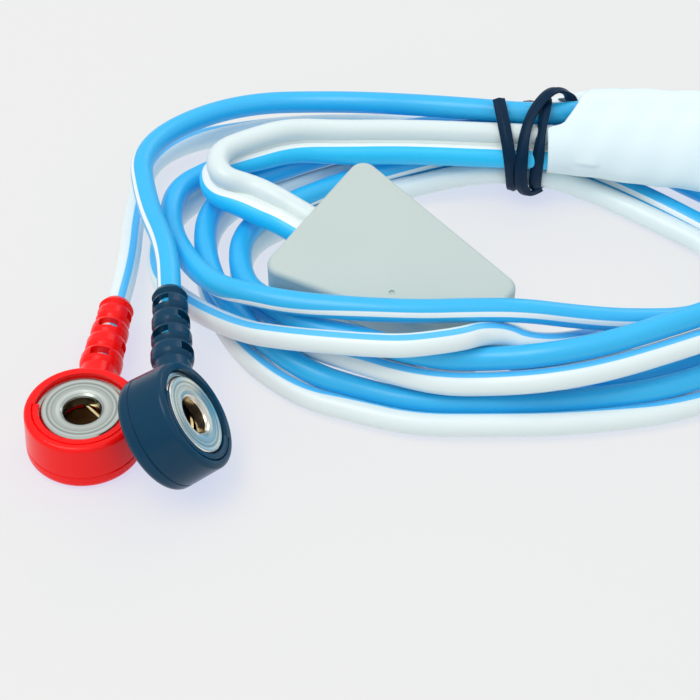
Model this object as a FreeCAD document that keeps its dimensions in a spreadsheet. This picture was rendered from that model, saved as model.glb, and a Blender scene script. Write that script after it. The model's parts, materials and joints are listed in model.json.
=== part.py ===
import FreeCAD, Part
import math
import os
import Sketcher

# ECG snap-lead set: a two-core cable with a flat in-line yoke, wound in a hank of loops,
# that ends in two single leads with moulded snap connectors, one red and one black.
# Millimetres, +Z up. The origin is on the table, under the middle of the yoke and the snaps.

Vector = FreeCAD.Vector
Placement = FreeCAD.Placement
Rotation = FreeCAD.Rotation
AXIS_X = Vector(1, 0, 0)
AXIS_Z = Vector(0, 0, 1)

doc = FreeCAD.newDocument("ecg_snap_leads")
nodes = []

# Driving dimensions

DIMENSIONS = {
    "yoke_length": 25.6,
    "yoke_wide": 20.2,
    "yoke_narrow": 10.5,
    "yoke_thick": 8.0,
    "yoke_corner": 1.8,
    "yoke_edge": 0.7,
    "yoke_seam": 0.15,
    "yoke_wall": 1.4,
    "yoke_across": 14.4,
    "yoke_back": 7.8,
    "yoke_up": 6.4,
    "yoke_yaw": -35.6,
    "yoke_pitch": 11.4,
    "gate_diameter": 0.7,
    "gate_depth": 0.2,
    "gate_along": 1.6,
    "gate_across": -4.2,
    "cavity_length": 22.8,
    "cavity_wide": 16.6,
    "cavity_narrow": 8.2,
    "clamp_thick": 1.5,
    "clamp_wide": 6.6,
    "board_length": 15.0,
    "board_wide": 6.8,
    "board_thick": 0.8,
    "board_drop": 1.9,
    "resistor_diameter": 1.5,
    "resistor_length": 4.0,
    "terminal_diameter": 1.1,
    "terminal_height": 0.9,
    "snap_diameter": 13.3,
    "snap_top": 12.8,
    "snap_height": 6.1,
    "snap_round": 0.55,
    "foot_round": 0.9,
    "seam_height": 1.7,
    "seam_depth": 0.14,
    "disc_diameter": 10.5,
    "disc_seat": 0.9,
    "disc_wide_seat": 10.6,
    "plate_diameter": 9.2,
    "lip_inner": 9.5,
    "lip_root": 11.0,
    "lip_under": 0.5,
    "lip_drop": 0.05,
    "lip_groove": 0.3,
    "well_diameter": 5.2,
    "cavity_diameter": 9.2,
    "shelf_height": 3.55,
    "floor_height": 1.9,
    "cap_diameter": 11.1,
    "cap_recess": 11.2,
    "cap_thick": 1.1,
    "cap_ring": 7.8,
    "cap_dish": 0.25,
    "bore_diameter": 4.2,
    "flange_height": 0.35,
    "plate_height": 0.75,
    "stamp_ease": 0.12,
    "bore_roll": 0.45,
    "cup_diameter": 5.1,
    "cup_wall": 0.15,
    "cup_gap": 0.05,
    "collar_wall": 0.3,
    "collar_depth": 1.6,
    "wire_diameter": 0.55,
    "wire_length": 6.0,
    "wire_spacing": 3.3,
    "wire_gap": 0.12,
    "boot_length": 12.6,
    "boot_root": 4.9,
    "boot_tip": 4.1,
    "boot_bore": 2.7,
    "boot_lip": 0.6,
    "rib_depth": 0.34,
    "slot_long": 1.1,
    "slot_wide": 2.2,
    "slot_pitch": 2.45,
    "slot_first": 9.7,
    "crimp_length": 2.8,
    "crimp_end": 6.9,
    "tab_wide": 1.6,
    "tab_long": 0.4,
    "core_diameter": 2.6,
    "core_pitch": 2.8,
    "exit_straight": 2.6,
    "grip_length": 16.0,
    "grip_diameter": 7.6,
    "grip_entry": 6.0,
    "grip_taper": 5.0,
    "grip_round": 0.6,
    "pin_diameter": 3.5,
    "pin_collar": 4.8,
    "sleeve_length": 8.4,
    "insulator_length": 0.7,
    "collar_length": 1.0,
    "insulator_diameter": 3.5,
    "tip_length": 4.9,
    "tip_step": 1.1,
    "tip_neck": 2.2,
    "tip_knob": 2.9,
    "tip_flat": 0.8,
    "tie_diameter": 1.1,
    "tie_across": 16.0,
    "tie_high": 12.2,
    "tie_pitch": 2.8,
    "tie_corner": 3.2,
    "paper_thick": 0.3,
}

sheet = doc.addObject("Spreadsheet::Sheet", "dims")
for row, (alias, amount) in enumerate(DIMENSIONS.items(), 1):
    sheet.set(f"A{row}", alias.replace("_", " "))
    sheet.set(f"B{row}", str(amount))
    sheet.setAlias(f"B{row}", alias)
doc.recompute()


class Size:
    """A number of the sheet, or one worked out from it, with the expression that gives it."""

    def __init__(self, value, text):
        self.value = value
        self.text = text

    def joined(self, other, sign):
        if not isinstance(other, Size):
            other = Size(other, str(other))
        return Size(self.value + sign * other.value, f"({self.text} + {sign} * {other.text})")

    def __add__(self, other):
        return self.joined(other, 1)

    def __sub__(self, other):
        return self.joined(other, -1)

    def __mul__(self, factor):
        return Size(self.value * factor, f"({self.text} * {factor})")

    def __truediv__(self, divisor):
        return Size(self.value / divisor, f"({self.text} / {divisor})")

    def __neg__(self):
        return self * -1


dim = {alias: Size(float(sheet.get(alias)), f"dims.{alias}") for alias in DIMENSIONS}


def number(size):
    return size.value if isinstance(size, Size) else size


def bind(target, prop, size):
    """Set a property, and tie it to the sheet where its size comes from there."""
    setattr(target, prop, number(size))
    if isinstance(size, Size):
        target.setExpression(prop, size.text)


# Sketched bodies


def new_body(label):
    body = doc.addObject("PartDesign::Body", label)
    body.Label = label
    nodes.append(body)
    return body


def datum(body, role):
    return next(feature for feature in body.Origin.OriginFeatures if feature.Role == role)


def new_sketch(body, name, role):
    sketch = body.newObject("Sketcher::SketchObject", name)
    sketch.AttachmentSupport = [(datum(body, role), "")]
    sketch.MapMode = "FlatFace"
    return sketch


def hold(sketch, line, coordinate, axis):
    """Dimension a line's first point from the sketch's origin, along one axis."""
    value = number(coordinate)
    if abs(value) < 1e-6:
        sketch.addConstraint(Sketcher.Constraint("PointOnObject", line, 1, (-2, -1)[axis]))
        return
    origin = (-1, 1)
    point = (line, 1)
    ends = origin + point if value > 0 else point + origin
    kind = ("DistanceX", "DistanceY")[axis]
    index = sketch.addConstraint(Sketcher.Constraint(kind, *ends, abs(value)))
    if isinstance(coordinate, Size):
        sketch.setExpression(f"Constraints[{index}]", f"abs({coordinate.text})")


def outline(sketch, points):
    """A closed run of lines with every corner dimensioned."""
    first = sketch.GeometryCount
    count = len(points)
    corners = [Vector(number(x), number(y), 0) for x, y in points]
    for i in range(count):
        sketch.addGeometry(Part.LineSegment(corners[i], corners[(i + 1) % count]), False)
    for i in range(count):
        after = first + (i + 1) % count
        sketch.addConstraint(Sketcher.Constraint("Coincident", first + i, 2, after, 1))
    for i, point in enumerate(points):
        for axis in (0, 1):
            hold(sketch, first + i, point[axis], axis)


def revolve(body, name, plane, axis, points, kind="Revolution", angle=360):
    """Turn an outline about one of the body's axes; a part turn is centred on its sketch."""
    sketch = new_sketch(body, name + "_outline", plane)
    outline(sketch, points)
    feature = body.newObject("PartDesign::" + kind, name)
    feature.Profile = sketch
    feature.ReferenceAxis = (datum(body, axis), [""])
    feature.Angle = angle
    feature.Midplane = angle < 360
    doc.recompute()
    return feature


def cut_through(body, name, sketch):
    """Cut a sketch right through the body, both ways; the volume shows that it cut."""
    before = body.Shape.Volume
    feature = body.newObject("PartDesign::Pocket", name)
    feature.Profile = sketch
    feature.Type = "ThroughAll"
    feature.Midplane = True
    doc.recompute()
    assert body.Shape.Volume < before, name
    return feature


def rounded(body, base, kind, name, prop, size, wanted):
    """Round or chamfer the edges of a feature that a test picks."""
    names = [f"Edge{i}" for i, edge in enumerate(base.Shape.Edges, 1) if wanted(edge)]
    feature = body.newObject("PartDesign::" + kind, name)
    feature.Base = (base, names)
    bind(feature, prop, size)
    doc.recompute()
    return feature


def at_height(height):
    def test(edge):
        return all(abs(vertex.Z - height) < 1e-4 for vertex in edge.Vertexes)
    return test


def upright(edge):
    ends = edge.Vertexes
    return len(ends) == 2 and abs(ends[0].Z - ends[1].Z) > 1 and ends[0].X == ends[1].X


# Yoke: two moulded shells that part at mid thickness, where the cores go in and out

yoke_place = Placement(
    Vector(number(dim["yoke_across"]), number(dim["yoke_back"]), number(dim["yoke_up"])),
    Rotation(AXIS_X, number(dim["yoke_pitch"])) * Rotation(AXIS_Z, number(dim["yoke_yaw"])))


def trapezoid(length, wide, narrow):
    return [(-length / 2, -wide / 2), (length / 2, -narrow / 2),
            (length / 2, narrow / 2), (-length / 2, wide / 2)]


def cable_slot(sketch, pitch, diameter):
    """A slot with round ends that just passes the two cores side by side."""
    half = number(pitch) / 2
    radius = number(diameter) / 2
    normal = Vector(0, 0, 1)
    for side, start in ((-1, 90), (1, -90)):
        circle = Part.Circle(Vector(side * half, 0, 0), normal, radius)
        turn = (math.radians(start), math.radians(start + 180))
        sketch.addGeometry(Part.ArcOfCircle(circle, *turn), False)
    for level in (1, -1):
        left = Vector(-half, level * radius, 0)
        right = Vector(half, level * radius, 0)
        sketch.addGeometry(Part.LineSegment(left, right), False)
    for arc, arc_end, line, line_end in ((0, 1, 2, 1), (0, 2, 3, 1), (1, 2, 2, 2), (1, 1, 3, 2)):
        sketch.addConstraint(Sketcher.Constraint("Tangent", arc, arc_end, line, line_end))
    for arc in (0, 1):
        sketch.addConstraint(Sketcher.Constraint("PointOnObject", arc, 3, -1))
    width = sketch.addConstraint(Sketcher.Constraint("Radius", 0, radius))
    sketch.setExpression(f"Constraints[{width}]", (diameter / 2).text)
    spread = sketch.addConstraint(Sketcher.Constraint("DistanceX", -1, 1, 1, 3, half))
    sketch.setExpression(f"Constraints[{spread}]", (pitch / 2).text)
    spread = sketch.addConstraint(Sketcher.Constraint("DistanceX", 0, 3, -1, 1, half))
    sketch.setExpression(f"Constraints[{spread}]", (pitch / 2).text)


def gate_mark(body, label):
    """The small round mark that the mould's gate leaves on the top face."""
    floor = dim["yoke_thick"] / 2 - dim["gate_depth"]
    place = Vector(number(dim["gate_along"]), number(dim["gate_across"]), 0)
    mark = new_sketch(body, label + "_gate_outline", "XY_Plane")
    circle = Part.Circle(place, Vector(0, 0, 1), number(dim["gate_diameter"]) / 2)
    mark.addGeometry(circle, False)
    wide = mark.addConstraint(Sketcher.Constraint("Diameter", 0, number(dim["gate_diameter"])))
    mark.setExpression(f"Constraints[{wide}]", dim["gate_diameter"].text)
    mark.AttachmentOffset = Placement(Vector(0, 0, number(floor)), Rotation())
    mark.setExpression("AttachmentOffset.Base.z", floor.text)
    before = body.Shape.Volume
    gate = body.newObject("PartDesign::Pocket", label + "_gate")
    gate.Profile = mark
    bind(gate, "Length", dim["gate_depth"] * 2)
    gate.Reversed = True
    doc.recompute()
    assert body.Shape.Volume < before, label


def yoke_shell(label, upper):
    body = new_body(label)
    half = dim["yoke_thick"] / 2
    far = number(half) if upper else -number(half)
    plan = new_sketch(body, label + "_plan", "XY_Plane")
    outline(plan, trapezoid(dim["yoke_length"], dim["yoke_wide"], dim["yoke_narrow"]))
    block = body.newObject("PartDesign::Pad", label + "_block")
    block.Profile = plan
    bind(block, "Length", half)
    block.Reversed = not upper
    doc.recompute()
    corners = rounded(body, block, "Fillet", label + "_corners", "Radius", dim["yoke_corner"], upright)
    edge = rounded(body, corners, "Fillet", label + "_edge", "Radius", dim["yoke_edge"], at_height(far))
    rounded(body, edge, "Chamfer", label + "_seam", "Size", dim["yoke_seam"], at_height(0))
    before = body.Shape.Volume
    hollow = new_sketch(body, label + "_cavity_plan", "XY_Plane")
    outline(hollow, trapezoid(dim["cavity_length"], dim["cavity_wide"], dim["cavity_narrow"]))
    cavity = body.newObject("PartDesign::Pocket", label + "_cavity")
    cavity.Profile = hollow
    bind(cavity, "Length", half - dim["yoke_wall"])
    cavity.Reversed = upper
    doc.recompute()
    assert body.Shape.Volume < before, label
    slot = new_sketch(body, label + "_slot_outline", "YZ_Plane")
    cable_slot(slot, dim["core_pitch"], dim["boot_bore"])
    cut_through(body, label + "_slot", slot)
    if upper:
        gate_mark(body, label)
    body.Placement = yoke_place


yoke_shell("yoke_upper_shell", True)
yoke_shell("yoke_lower_shell", False)

# Plain pieces made of boxes and cylinders, each placed in its parent's frame


def block(label, parent, corner, length, width, height):
    box = doc.addObject("Part::Box", label)
    box.Label = label
    bind(box, "Length", length)
    bind(box, "Width", width)
    bind(box, "Height", height)
    box.Placement = parent * Placement(Vector(*(number(c) for c in corner)), Rotation())
    return box


def rod(label, parent, foot, way, radius, height):
    cylinder = doc.addObject("Part::Cylinder", label)
    cylinder.Label = label
    bind(cylinder, "Radius", radius)
    bind(cylinder, "Height", height)
    turn = Rotation(AXIS_Z, Vector(*way))
    cylinder.Placement = parent * Placement(Vector(*(number(c) for c in foot)), turn)
    return cylinder


def group(label, pieces):
    compound = doc.addObject("Part::Compound", label)
    compound.Label = label
    compound.Links = pieces
    nodes.append(compound)


# Inside the yoke: a clamp bar behind each cable slot, and a board with a resistor in each core

cavity_depth = dim["yoke_thick"] / 2 - dim["yoke_wall"]
clamp_start = {"trunk_clamp": -dim["cavity_length"] / 2,
               "coil_clamp": dim["cavity_length"] / 2 - dim["clamp_thick"]}
for label, start in clamp_start.items():
    corner = (start, -dim["clamp_wide"] / 2, -cavity_depth)
    nodes.append(block(label, yoke_place, corner, dim["clamp_thick"], dim["clamp_wide"], cavity_depth * 2))

board_top = -dim["board_drop"] + dim["board_thick"]
board_corner = (-dim["board_length"] / 2, -dim["board_wide"] / 2, -dim["board_drop"])
nodes.append(block("yoke_circuit_board", yoke_place, board_corner,
                   dim["board_length"], dim["board_wide"], dim["board_thick"]))

resistors = []
terminals = []
for side in (-1, 1):
    lane = dim["core_pitch"] * side / 2
    foot = (-dim["resistor_length"] / 2, lane, board_top + dim["resistor_diameter"] / 2)
    resistors.append(rod(f"resistor_{side}", yoke_place, foot, (1, 0, 0),
                         dim["resistor_diameter"] / 2, dim["resistor_length"]))
    for end in (-1, 1):
        foot = (dim["board_length"] * end / 2 - dim["terminal_diameter"] * end, lane, board_top)
        terminals.append(rod(f"terminal_{side}_{end}", yoke_place, foot, (0, 0, 1),
                             dim["terminal_diameter"] / 2, dim["terminal_height"]))
group("series_resistors", resistors)
group("solder_terminals", terminals)

# Snap connector: z is the press direction, y runs out along the boot, z = 0 is the boot's axis

SLOT_ROWS = 4
base = -dim["snap_height"] / 2
top = dim["snap_height"] / 2


def rim_at(height, radius):
    """Picks the round edge of one height and radius."""
    def test(edge):
        if not at_height(number(height))(edge):
            return False
        return abs(getattr(edge.Curve, "Radius", 0) - number(radius)) < 1e-4
    return test


def boot_ribs(root, tip):
    """Half outline of the boot's round ribs, one to each row of slots, in a taper to the tip."""
    found = []
    half = dim["slot_pitch"] / 2
    for row in range(SLOT_ROWS):
        middle = dim["slot_first"] + dim["slot_pitch"] * row
        crest = root + (tip - root) * (row / (SLOT_ROWS - 1))
        neck = crest - dim["rib_depth"]
        shoulder = crest - dim["rib_depth"] / 3
        found += [(neck, middle - half), (shoulder, middle - half * 0.72), (crest, middle - half * 0.36),
                  (crest, middle + half * 0.36), (shoulder, middle + half * 0.72)]
    found.append((neck, middle + half))
    return found


def snap_housing(label, placement):
    """One soft moulding: a cup for the socket, and a boot with slots in turn on top and sides."""
    body = new_body(label)
    foot = dim["snap_diameter"] / 2
    head = dim["snap_top"] / 2
    seam = base + dim["seam_height"]
    seat = top - dim["disc_seat"]
    shelf = base + dim["shelf_height"]
    floor = base + dim["floor_height"]
    recess = base + dim["cap_thick"]
    seam_wall = foot - dim["seam_depth"] / 2
    cup = [
        (0, floor), (dim["well_diameter"] / 2, floor), (dim["well_diameter"] / 2, shelf),
        (dim["cavity_diameter"] / 2, shelf), (dim["cavity_diameter"] / 2, seat),
        (dim["disc_wide_seat"] / 2, seat), (dim["disc_wide_seat"] / 2, top), (head, top),
        (seam_wall, seam + dim["seam_depth"]), (seam_wall - dim["seam_depth"], seam),
        (seam_wall, seam - dim["seam_depth"]), (foot, base), (dim["cap_recess"] / 2, base),
        (dim["cap_recess"] / 2, recess), (0, recess)]
    turning = revolve(body, label + "_cup", "XZ_Plane", "Z_Axis", cup)
    shoulder = rounded(body, turning, "Fillet", label + "_shoulder", "Radius",
                       dim["snap_round"], rim_at(top, head))
    rounded(body, shoulder, "Fillet", label + "_foot", "Radius", dim["foot_round"], rim_at(base, foot))
    outside = -dim["lip_root"] / 2
    inside = -dim["lip_inner"] / 2
    under = top - dim["lip_under"]
    crest = top - dim["lip_drop"]
    lip = [(outside, under), (inside, under), (inside, crest), (outside, crest)]
    revolve(body, label + "_lip", "YZ_Plane", "Z_Axis", lip, angle=180)
    before = body.Shape.Volume
    wide = dim["lip_groove"] / 2
    channel = [(outside, top - dim["lip_groove"]), (outside + wide, top + wide), (outside - wide, top + wide)]
    revolve(body, label + "_groove", "YZ_Plane", "Z_Axis", channel, kind="Groove", angle=180)
    assert body.Shape.Volume < before, label
    root = dim["boot_root"] / 2
    tip = dim["boot_tip"] / 2
    end = dim["snap_diameter"] / 2 + dim["boot_length"]
    inner = dim["cap_recess"] / 2
    boot = [(0, inner), (root, inner)] + boot_ribs(root, tip)
    boot += [(tip, end - dim["boot_lip"]), (tip - dim["boot_lip"] / 2, end), (0, end)]
    revolve(body, label + "_boot", "XY_Plane", "Y_Axis", boot)
    before = body.Shape.Volume
    bore = dim["boot_bore"] / 2
    deep = dim["crimp_end"] - dim["crimp_length"]
    past = end + dim["boot_lip"]
    revolve(body, label + "_bore", "XY_Plane", "Y_Axis",
            [(0, deep), (bore, deep), (bore, past), (0, past)], kind="Groove")
    assert body.Shape.Volume < before, label
    for plane, rows in (("XY_Plane", range(0, SLOT_ROWS, 2)), ("YZ_Plane", range(1, SLOT_ROWS, 2))):
        slots = new_sketch(body, f"{label}_slots_{plane}", plane)
        for row in rows:
            near = dim["slot_first"] + dim["slot_pitch"] * row - dim["slot_long"] / 2
            far = near + dim["slot_long"]
            across = dim["slot_wide"] / 2
            if plane == "XY_Plane":
                outline(slots, [(-across, near), (across, near), (across, far), (-across, far)])
            else:
                outline(slots, [(near, -across), (far, -across), (far, across), (near, across)])
        cut_through(body, f"{label}_slotted_{plane}", slots)
    body.Placement = placement


def snap_socket(label, placement):
    """A stamped disc: a low flange, a raised plate, and a rolled edge into the stud's bore."""
    body = new_body(label)
    seat = top - dim["disc_seat"]
    rim = dim["disc_diameter"] / 2
    plate = dim["plate_diameter"] / 2
    bore = dim["bore_diameter"] / 2
    skirt = bore + dim["collar_wall"]
    lift = seat + dim["flange_height"]
    crown = seat + dim["plate_height"]
    foot = crown - dim["collar_depth"]
    ease = dim["stamp_ease"]
    roll = dim["bore_roll"]
    inner = plate - dim["flange_height"]
    profile = [
        (rim, seat), (rim, lift - ease), (rim - ease, lift), (plate + ease, lift), (plate, lift + ease),
        (plate - ease / 2, crown - ease), (plate - ease * 1.5, crown), (bore + roll * 1.6, crown),
        (bore + roll * 0.7, crown - roll * 0.2), (bore + roll * 0.2, crown - roll * 0.55),
        (bore, crown - roll), (bore, foot), (skirt, foot), (skirt, lift), (inner, lift), (inner, seat)]
    revolve(body, label + "_stamping", "XZ_Plane", "Z_Axis", profile)
    body.Placement = placement


def stud_cup(label, placement):
    """The deep-drawn cup under the springs, which takes the head of the stud."""
    body = new_body(label)
    wall = dim["cup_diameter"] / 2
    inner = wall - dim["cup_wall"]
    floor = base + dim["floor_height"]
    brim = base + dim["shelf_height"] - dim["cup_gap"]
    profile = [(0, floor), (wall, floor), (wall, brim), (inner, brim),
               (inner, floor + dim["cup_wall"]), (0, floor + dim["cup_wall"])]
    revolve(body, label + "_drawing", "XZ_Plane", "Z_Axis", profile)
    body.Placement = placement


def base_cap(label, placement):
    """The cover pressed into the base, with a shallow round edge and a dished middle."""
    body = new_body(label)
    rim = dim["cap_diameter"] / 2
    ease = dim["snap_round"] / 2
    inner = base + dim["cap_thick"]
    ring = dim["cap_ring"] / 2
    dish = base + dim["cap_dish"]
    profile = [(0, dish), (ring, dish), (ring + dim["cap_dish"], base), (rim - ease, base),
               (rim, base + ease), (rim, inner), (0, inner)]
    revolve(body, label + "_profile", "XZ_Plane", "Z_Axis", profile)
    body.Placement = placement


def crimp_terminal(label, placement):
    """A crimp barrel on the core's end, with a tab up to the rim of the socket."""
    start = dim["crimp_end"] - dim["crimp_length"]
    radius = dim["core_diameter"] / 2
    barrel = rod(label + "_barrel", Placement(), (0, start, 0), (0, 1, 0), radius, dim["crimp_length"])
    tab_top = top - dim["disc_seat"]
    tab = block(label + "_tab", Placement(), (-dim["tab_wide"] / 2, start, 0),
                dim["tab_wide"], dim["tab_long"], tab_top)
    joined = doc.addObject("Part::Fuse", label)
    joined.Label = label
    joined.Base = barrel
    joined.Tool = tab
    joined.Placement = placement
    nodes.append(joined)


def snap_connector(colour, placement, spring_turn):
    """A whole snap; its pair of spring wires lies at its own turn under the bore."""
    snap_housing(colour + "_snap_housing", placement)
    snap_socket(colour + "_snap_socket", placement)
    stud_cup(colour + "_stud_cup", placement)
    base_cap(colour + "_base_cap", placement)
    crimp_terminal(colour + "_crimp_terminal", placement)
    collar_foot = top - dim["disc_seat"] + dim["plate_height"] - dim["collar_depth"]
    height = collar_foot - dim["wire_diameter"] / 2 - dim["wire_gap"]
    turned_place = placement * Placement(Vector(), Rotation(AXIS_Z, spring_turn))
    for side, name in ((-1, "left"), (1, "right")):
        foot = (dim["wire_spacing"] * side / 2, -dim["wire_length"] / 2, height)
        nodes.append(rod(f"{colour}_spring_wire_{name}", turned_place, foot, (0, 1, 0),
                         dim["wire_diameter"] / 2, dim["wire_length"]))


def frame_at(origin, boot_way, press_way):
    """A placement whose z is the press direction and whose y runs out along the boot."""
    z = Vector(*press_way).normalize()
    x = Vector(*boot_way).cross(z).normalize()
    return Placement(Vector(*origin), Rotation(x, z.cross(x), z, "ZXY"))


# The red snap lies flat; the black one stands on its edge and leans against it
RED_SPRING_TURN = 48
BLACK_SPRING_TURN = 0
red_place = frame_at((-20.9, -12.0, number(top)), (0.117, 0.993, 0), (0, 0, 1))
black_place = frame_at((-10.4, -15.5, 7.0), (-0.11, 0.99, 0.05), (0.815, 0.030, 0.579))
snap_connector("red", red_place, RED_SPRING_TURN)
snap_connector("black", black_place, BLACK_SPRING_TURN)

# Plug at the trunk's far end: x runs along the pin, from the cable's entry to the tip

plug_place = Placement(Vector(66.5, 29.0, 6.8), Rotation())


def turned(label, profile):
    body = new_body(label)
    revolve(body, label + "_turning", "XZ_Plane", "X_Axis", profile)
    body.Placement = plug_place


grip_end = dim["grip_length"]
sleeve_end = grip_end + dim["sleeve_length"]
tip_start = sleeve_end + dim["insulator_length"]
tip_end = tip_start + dim["tip_length"]
grip = dim["grip_diameter"] / 2
entry = dim["grip_entry"] / 2
pin = dim["pin_diameter"] / 2
collar = dim["pin_collar"] / 2
collar_end = grip_end + dim["collar_length"]
spacer = dim["insulator_diameter"] / 2
neck = dim["tip_neck"] / 2
knob = dim["tip_knob"] / 2
point = dim["tip_flat"] / 2
ease = dim["grip_round"]
step = dim["tip_step"]
taper = dim["grip_taper"]
turned("plug_grip", [(0, 0), (0, entry), (taper * 0.6, entry + ease / 2), (taper, grip),
                     (grip_end - ease * 3, grip), (grip_end, grip - ease), (grip_end, 0)])
turned("plug_sleeve", [(grip_end, 0), (grip_end, collar), (collar_end, collar), (collar_end, pin),
                       (sleeve_end, pin), (sleeve_end, 0)])
turned("plug_insulator", [(sleeve_end, 0), (sleeve_end, spacer), (tip_start, spacer), (tip_start, 0)])
turned("plug_tip", [(tip_start, 0), (tip_start, pin), (tip_start + step, pin),
                    (tip_start + step * 2, neck), (tip_start + step * 3, knob),
                    (tip_start + step * 3.3, knob), (tip_end, point), (tip_end, 0)])

# Cable stations: x, y, z, heading in degrees, and, for the twin cable, the lean of the blue core
# from straight above the white one. Each turn of the hank runs anticlockwise from the tied waist.

COIL_START = [
    (36.5, -2, 1.6, 0, -90), (55.5, 12, 1.6, 90, -90), (42.5, 28.2, 1.6, 143, -88)]
COIL_TURNS = [
    [(28.5, 31.3, 4.4, 178, -72), (10.5, 28.4, 2.9, 205, -45), (-4.5, 14, 3, 270, 0),
     (2.1, 1.3, 5.4, -45, 5), (12, -4.2, 6.2, -24, 30), (21.5, -6.4, 6, 0, 45), (32.5, -7, 7.8, 7, 45),
     (48, -2.6, 9.3, 24, 45), (65.5, 13, 7, 90, 45), (51.5, 29.6, 2.1, 143, 60),
     (40, 34, 3.9, 166, 18)],
    [(28.5, 35.2, 5.8, 180, 19), (9.5, 33, 3.8, 197, -15), (-8.8, 18, 3, 270, 0),
     (0.9, -2.6, 2.4, -43, 45), (12.5, -7.8, 1.8, -17, 76), (26.5, -8.9, 1.7, 1, 80),
     (52.5, -3.6, 2.5, 30, 40), (71.5, 13, 2.7, 90, -15), (61.5, 30.5, 2.1, 120, -62),
     (49.5, 38.4, 2.3, 165, -52), (39, 38.8, 3.5, 184, -25)]]
COIL_END = (28.5, 38.3, 4, 187, -10)
BLACK_LEAD = [
    (10.5, 36.4, 4.8, 191), (-6, 31.2, 4.7, 212), (-13, 23, 4.9, 268), (-8, 7.2, 7.6, -56),
    (-1.5, 2.1, 9.4, -24), (14, -1.6, 10.8, -4), (24.5, -1.6, 10.9, 0), (36.5, -0.8, 8.8, 3),
    (44, 0.2, 7.6, 8), (51.5, 3.6, 6.9, 38), (56, 11, 9.2, 68), (57.5, 19, 10, 89),
    (56.5, 28.5, 11.6, 106), (49, 35.6, 9.2, 165), (28.5, 34.5, 9.9, 172), (0.5, 40.8, 6.4, 182),
    (-16.4, 23.8, 7.8, 279)]
RED_LEAD = [
    (10.5, 36.6, 1.6, 191), (-6.5, 31, 1.5, 213), (-14.5, 18, 1.5, 270), (-5.5, 2.1, 5, -42),
    (3.5, -3.4, 8, -20), (12.5, -5.9, 9.6, -8), (19.5, -5.5, 10, 12), (24.5, -3.2, 8.8, 14),
    (30, -3.1, 7, 14), (40.5, 1.8, 4.6, 18), (50, 5, 4.5, 32), (58.5, 12, 5.6, 60),
    (62, 21, 10.5, 92), (60.5, 29.5, 11.6, 106), (51.5, 39.5, 6.8, 170), (40, 42.2, 5.7, 180),
    (28.5, 41.1, 3.6, 183), (8.5, 41, 2.6, 178), (-17.5, 29, 1.8, 264)]
TRUNK = [
    (-2, 19.2, 8.5, 145, 118), (-7.8, 24, 9, 96, 160), (-1.5, 29.2, 8.9, 25, 205),
    (10.5, 30.8, 8.2, 2, 225), (28.5, 30.2, 8.1, -3, 225), (54.5, 28.8, 7.4, -2, 225)]
TRUNK_LEAN = 225

core = number(dim["core_diameter"])
half_pitch = number(dim["core_pitch"]) / 2
straight = number(dim["exit_straight"])


def along(heading, slope=0):
    turn = math.radians(heading)
    return Vector(math.cos(turn), math.sin(turn), slope).normalize()


def lean_offset(heading, lean):
    """From the twin's middle to its blue core."""
    left = AXIS_Z.cross(along(heading))
    return (left * math.sin(math.radians(lean)) + AXIS_Z * math.cos(math.radians(lean))) * half_pitch


def slope_at(rows, i):
    """How steeply the cable climbs at a station; level at both ends, tops and bottoms."""
    if i in (0, len(rows) - 1):
        return 0
    climbs = []
    for before, after in ((rows[i - 1], rows[i]), (rows[i], rows[i + 1])):
        climbs.append((after[2] - before[2]) / math.dist(before[:2], after[:2]))
    if climbs[0] * climbs[1] <= 0:
        return 0
    return 2 * climbs[0] * climbs[1] / (climbs[0] + climbs[1])


def stations(rows, side=0):
    """Points and directions of one core; side is 1 for the blue core and -1 for the white."""
    found = []
    for i, row in enumerate(rows):
        point = Vector(*row[:3])
        if side:
            point += lean_offset(row[3], row[4]) * side
        found.append((point, along(row[3], slope_at(rows, i))))
    return found


def arc_edge(start, way, end):
    """The arc, or line, that leaves start along way and ends at end, with its radius."""
    chord = end - start
    across = chord - way * chord.dot(way)
    if across.Length < 1e-4:
        return Part.LineSegment(start, end).toShape(), math.inf
    radius = chord.dot(chord) / (2 * across.Length)
    half = math.atan2(across.Length, chord.dot(way))
    across.normalize()
    middle = start + (way * math.sin(half) + across * (1 - math.cos(half))) * radius
    return Part.Arc(start, middle, end).toShape(), radius


def bend(start, start_way, end, end_way):
    """Two arcs that join two stations and share a tangent where they meet."""
    chord = end - start
    reach = chord.dot(start_way + end_way)
    spread = 2 * (1 - start_way.dot(end_way))
    if spread < 1e-9:
        arm = chord.dot(chord) / (2 * reach)
    else:
        arm = (math.sqrt(reach * reach + spread * chord.dot(chord)) - reach) / spread
    meeting = (start + end + (start_way - end_way) * arm) * 0.5
    first, first_radius = arc_edge(start, start_way, meeting)
    last, last_radius = arc_edge(end, -end_way, meeting)
    return [first, last], [first_radius, last_radius]


def least_gap(wire, diameter):
    """The least gap between stretches of a tube that are at least three diameters apart along it."""
    steps = 4
    points = wire.discretize(Distance=diameter / steps)
    apart = 3 * steps
    least = min((a.distanceToPoint(b) for i, a in enumerate(points) for b in points[i + apart:]),
                default=math.inf)
    return least - diameter


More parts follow.
